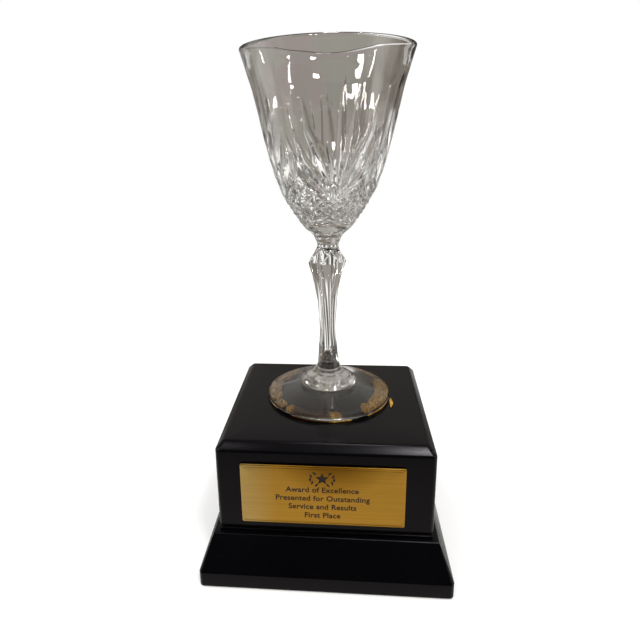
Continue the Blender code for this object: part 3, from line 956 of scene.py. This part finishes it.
# The dark front of the room; glass shows it less dark than gloss does
FRONT_PANELS = [
    (178.0, 62.0, 0.36, 1.2, (0.040, 0.038, 0.036)),
    (180.0, 55.0, -0.42, 0.36, (0.036, 0.034, 0.036)),
    (180.0, 9.0, -0.42, 0.30, (0.012, 0.011, 0.012)),
]


def build_world():
    """White for the camera and for soft light; a beige-grey room in gloss and through glass."""
    world = bpy.data.worlds.new("studio")
    bpy.context.scene.world = world
    world.use_nodes = True
    world.node_tree.nodes.clear()
    n = Tree(world.node_tree)
    x, y, z = n.axes("Generated")
    from_back = n.calculate("ARCTAN2", x, y)
    from_front = n.calculate("ARCTAN2", n.calculate("MULTIPLY", x, -1.0), n.calculate("MULTIPLY", y, -1.0))

    def fade(value, start, end):
        return n.spread(value, 0.0, 1.0, start, end, "SMOOTHSTEP")

    def panel(azimuth, half_width, low, high):
        """1 inside a panel, 0 outside it, with soft edges."""
        turned, place = (from_front, azimuth - 180.0) if abs(azimuth) > 90 else (from_back, azimuth)
        away = n.calculate("ABSOLUTE", n.calculate("SUBTRACT", turned, math.radians(place)))
        edge = math.radians(half_width)
        inside = fade(away, edge + PANEL_SOFT, edge - PANEL_SOFT)
        inside = n.calculate("MULTIPLY", inside, fade(z, low - PANEL_SOFT, low + PANEL_SOFT))
        return n.calculate("MULTIPLY", inside, fade(z, high + PANEL_SOFT, high - PANEL_SOFT))

    # Stripes of olive and rose on the walls, then what stands in the room
    combine = n.add("ShaderNodeCombineXYZ")
    n.join(n.calculate("MULTIPLY", from_back, 5.2), combine.inputs[0])
    n.join(n.calculate("MULTIPLY", z, 2.4), combine.inputs[1])
    stripes = n.noise(combine.outputs[0], 1.0, 1.0)
    room = n.mix(fade(stripes, 0.46, 0.54), OLIVE, ROSE)
    room = n.mix(fade(n.calculate("MULTIPLY", z, -1.0), 0.24, 0.34), room, LOW_WALL)
    for *place, colour in WALL_PANELS:
        room = n.mix(panel(*place), room, colour)
    paths = n.add("ShaderNodeLightPath")
    share = n.calculate("SUBTRACT", 1.0, n.calculate("MULTIPLY", paths.outputs["Is Transmission Ray"], 0.5))
    for *place, colour in FRONT_PANELS:
        room = n.mix(n.calculate("MULTIPLY", panel(*place), share), room, colour)
    white = n.calculate("MAXIMUM", paths.outputs["Is Camera Ray"], paths.outputs["Is Diffuse Ray"])
    background = n.add("ShaderNodeBackground", Strength=1.0)
    n.join(n.mix(white, room, (1.0, 1.0, 1.0)), background.inputs["Color"])
    output = n.add("ShaderNodeOutputWorld")
    n.join(background.outputs[0], output.inputs["Surface"])
    world.cycles.sampling_method = "NONE"


# Lights: direction from the target, width and height in metres, power in watts
LIGHT_TARGET = Vector((0.0, 0.0, 0.2))
LIGHT_DISTANCE = 1.5
LIGHT_COLOUR = (1.0, 0.98, 0.95)
LIGHTS = {
    "ceiling_left": ((-0.69, -0.53, 0.53), 0.24, 0.11, 3.4),
    "ceiling_right": ((0.79, -0.38, 0.54), 0.13, 0.09, 1.7),
    "side_left": ((-0.86, -0.23, 0.45), 0.05, 0.25, 1.6),
    "side_right": ((0.86, 0.39, 0.27), 0.05, 0.10, 0.8),
    "overhead": ((0.06, -0.2, 1.0), 0.3, 0.2, 3.0),
    "front_right": ((0.29, -0.55, 0.78), 0.20, 0.16, 7.0),
    "front_left": ((-0.36, -0.53, 0.78), 0.14, 0.12, 0.6),
}
# These two only put a sheen on the plinth's edges
NOT_THROUGH_GLASS = ("front_right", "front_left")


def soft_light(name, direction, width, height, power):
    data = bpy.data.lights.new(name, "AREA")
    data.shape = "RECTANGLE"
    data.size = width
    data.size_y = height
    data.energy = power
    data.color = LIGHT_COLOUR
    light = link(name, data)
    light.location = LIGHT_TARGET + Vector(direction).normalized() * LIGHT_DISTANCE
    aim = LIGHT_TARGET - light.location
    light.rotation_euler = aim.to_track_quat("-Z", "Y").to_euler()
    light.visible_transmission = name not in NOT_THROUGH_GLASS


# The camera's place in metres and its turn in degrees: heading, pitch below the horizon and roll
CAMERA_PLACE = (0.009877, -0.283547, 0.225443)
CAMERA_HEADING = 5.1716
CAMERA_PITCH = 15.6261
CAMERA_ROLL = -1.1298


def build_camera():
    data = bpy.data.cameras.new("camera")
    data.sensor_width = 36.0
    data.lens = 30.23
    data.shift_x = 0.03388
    data.shift_y = -0.05296
    data.clip_start = 0.01
    data.clip_end = 50.0
    camera = link("camera", data)
    heading = Matrix.Rotation(math.radians(CAMERA_HEADING), 4, "Z")
    pitch = Matrix.Rotation(math.radians(90 - CAMERA_PITCH), 4, "X")
    roll = Matrix.Rotation(math.radians(CAMERA_ROLL), 4, "Z")
    camera.matrix_world = Matrix.Translation(CAMERA_PLACE) @ heading @ pitch @ roll
    bpy.context.scene.camera = camera


def dress_kept_nodes():
    """Materials for the CAD nodes that no piece replaces: the tape and the screws."""
    tape, steel = tape_material(), steel_material()
    kept = [("plate_tape", tape)] + [(f"base_screw_{i}", steel) for i in range(1, 5)]
    for node, material in kept:
        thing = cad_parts[node]
        thing.data.materials.clear()
        thing.data.materials.append(material)


def set_light_and_view():
    """Plain colours, enough bounces for the glass, and bright highlights in it that aren't cut off."""
    scene = bpy.context.scene
    scene.view_settings.view_transform = "Standard"
    scene.cycles.max_bounces = 48
    scene.cycles.transmission_bounces = 48
    scene.cycles.glossy_bounces = 8
    scene.cycles.sample_clamp_indirect = 0.0


build_camera()
build_world()
build_floor()
build_plinth()
build_felt()
build_plate()
build_engraving()
build_cement()
build_drip()
build_goblet()
for name, settings in LIGHTS.items():
    soft_light(name, *settings)
dress_kept_nodes()
set_light_and_view()
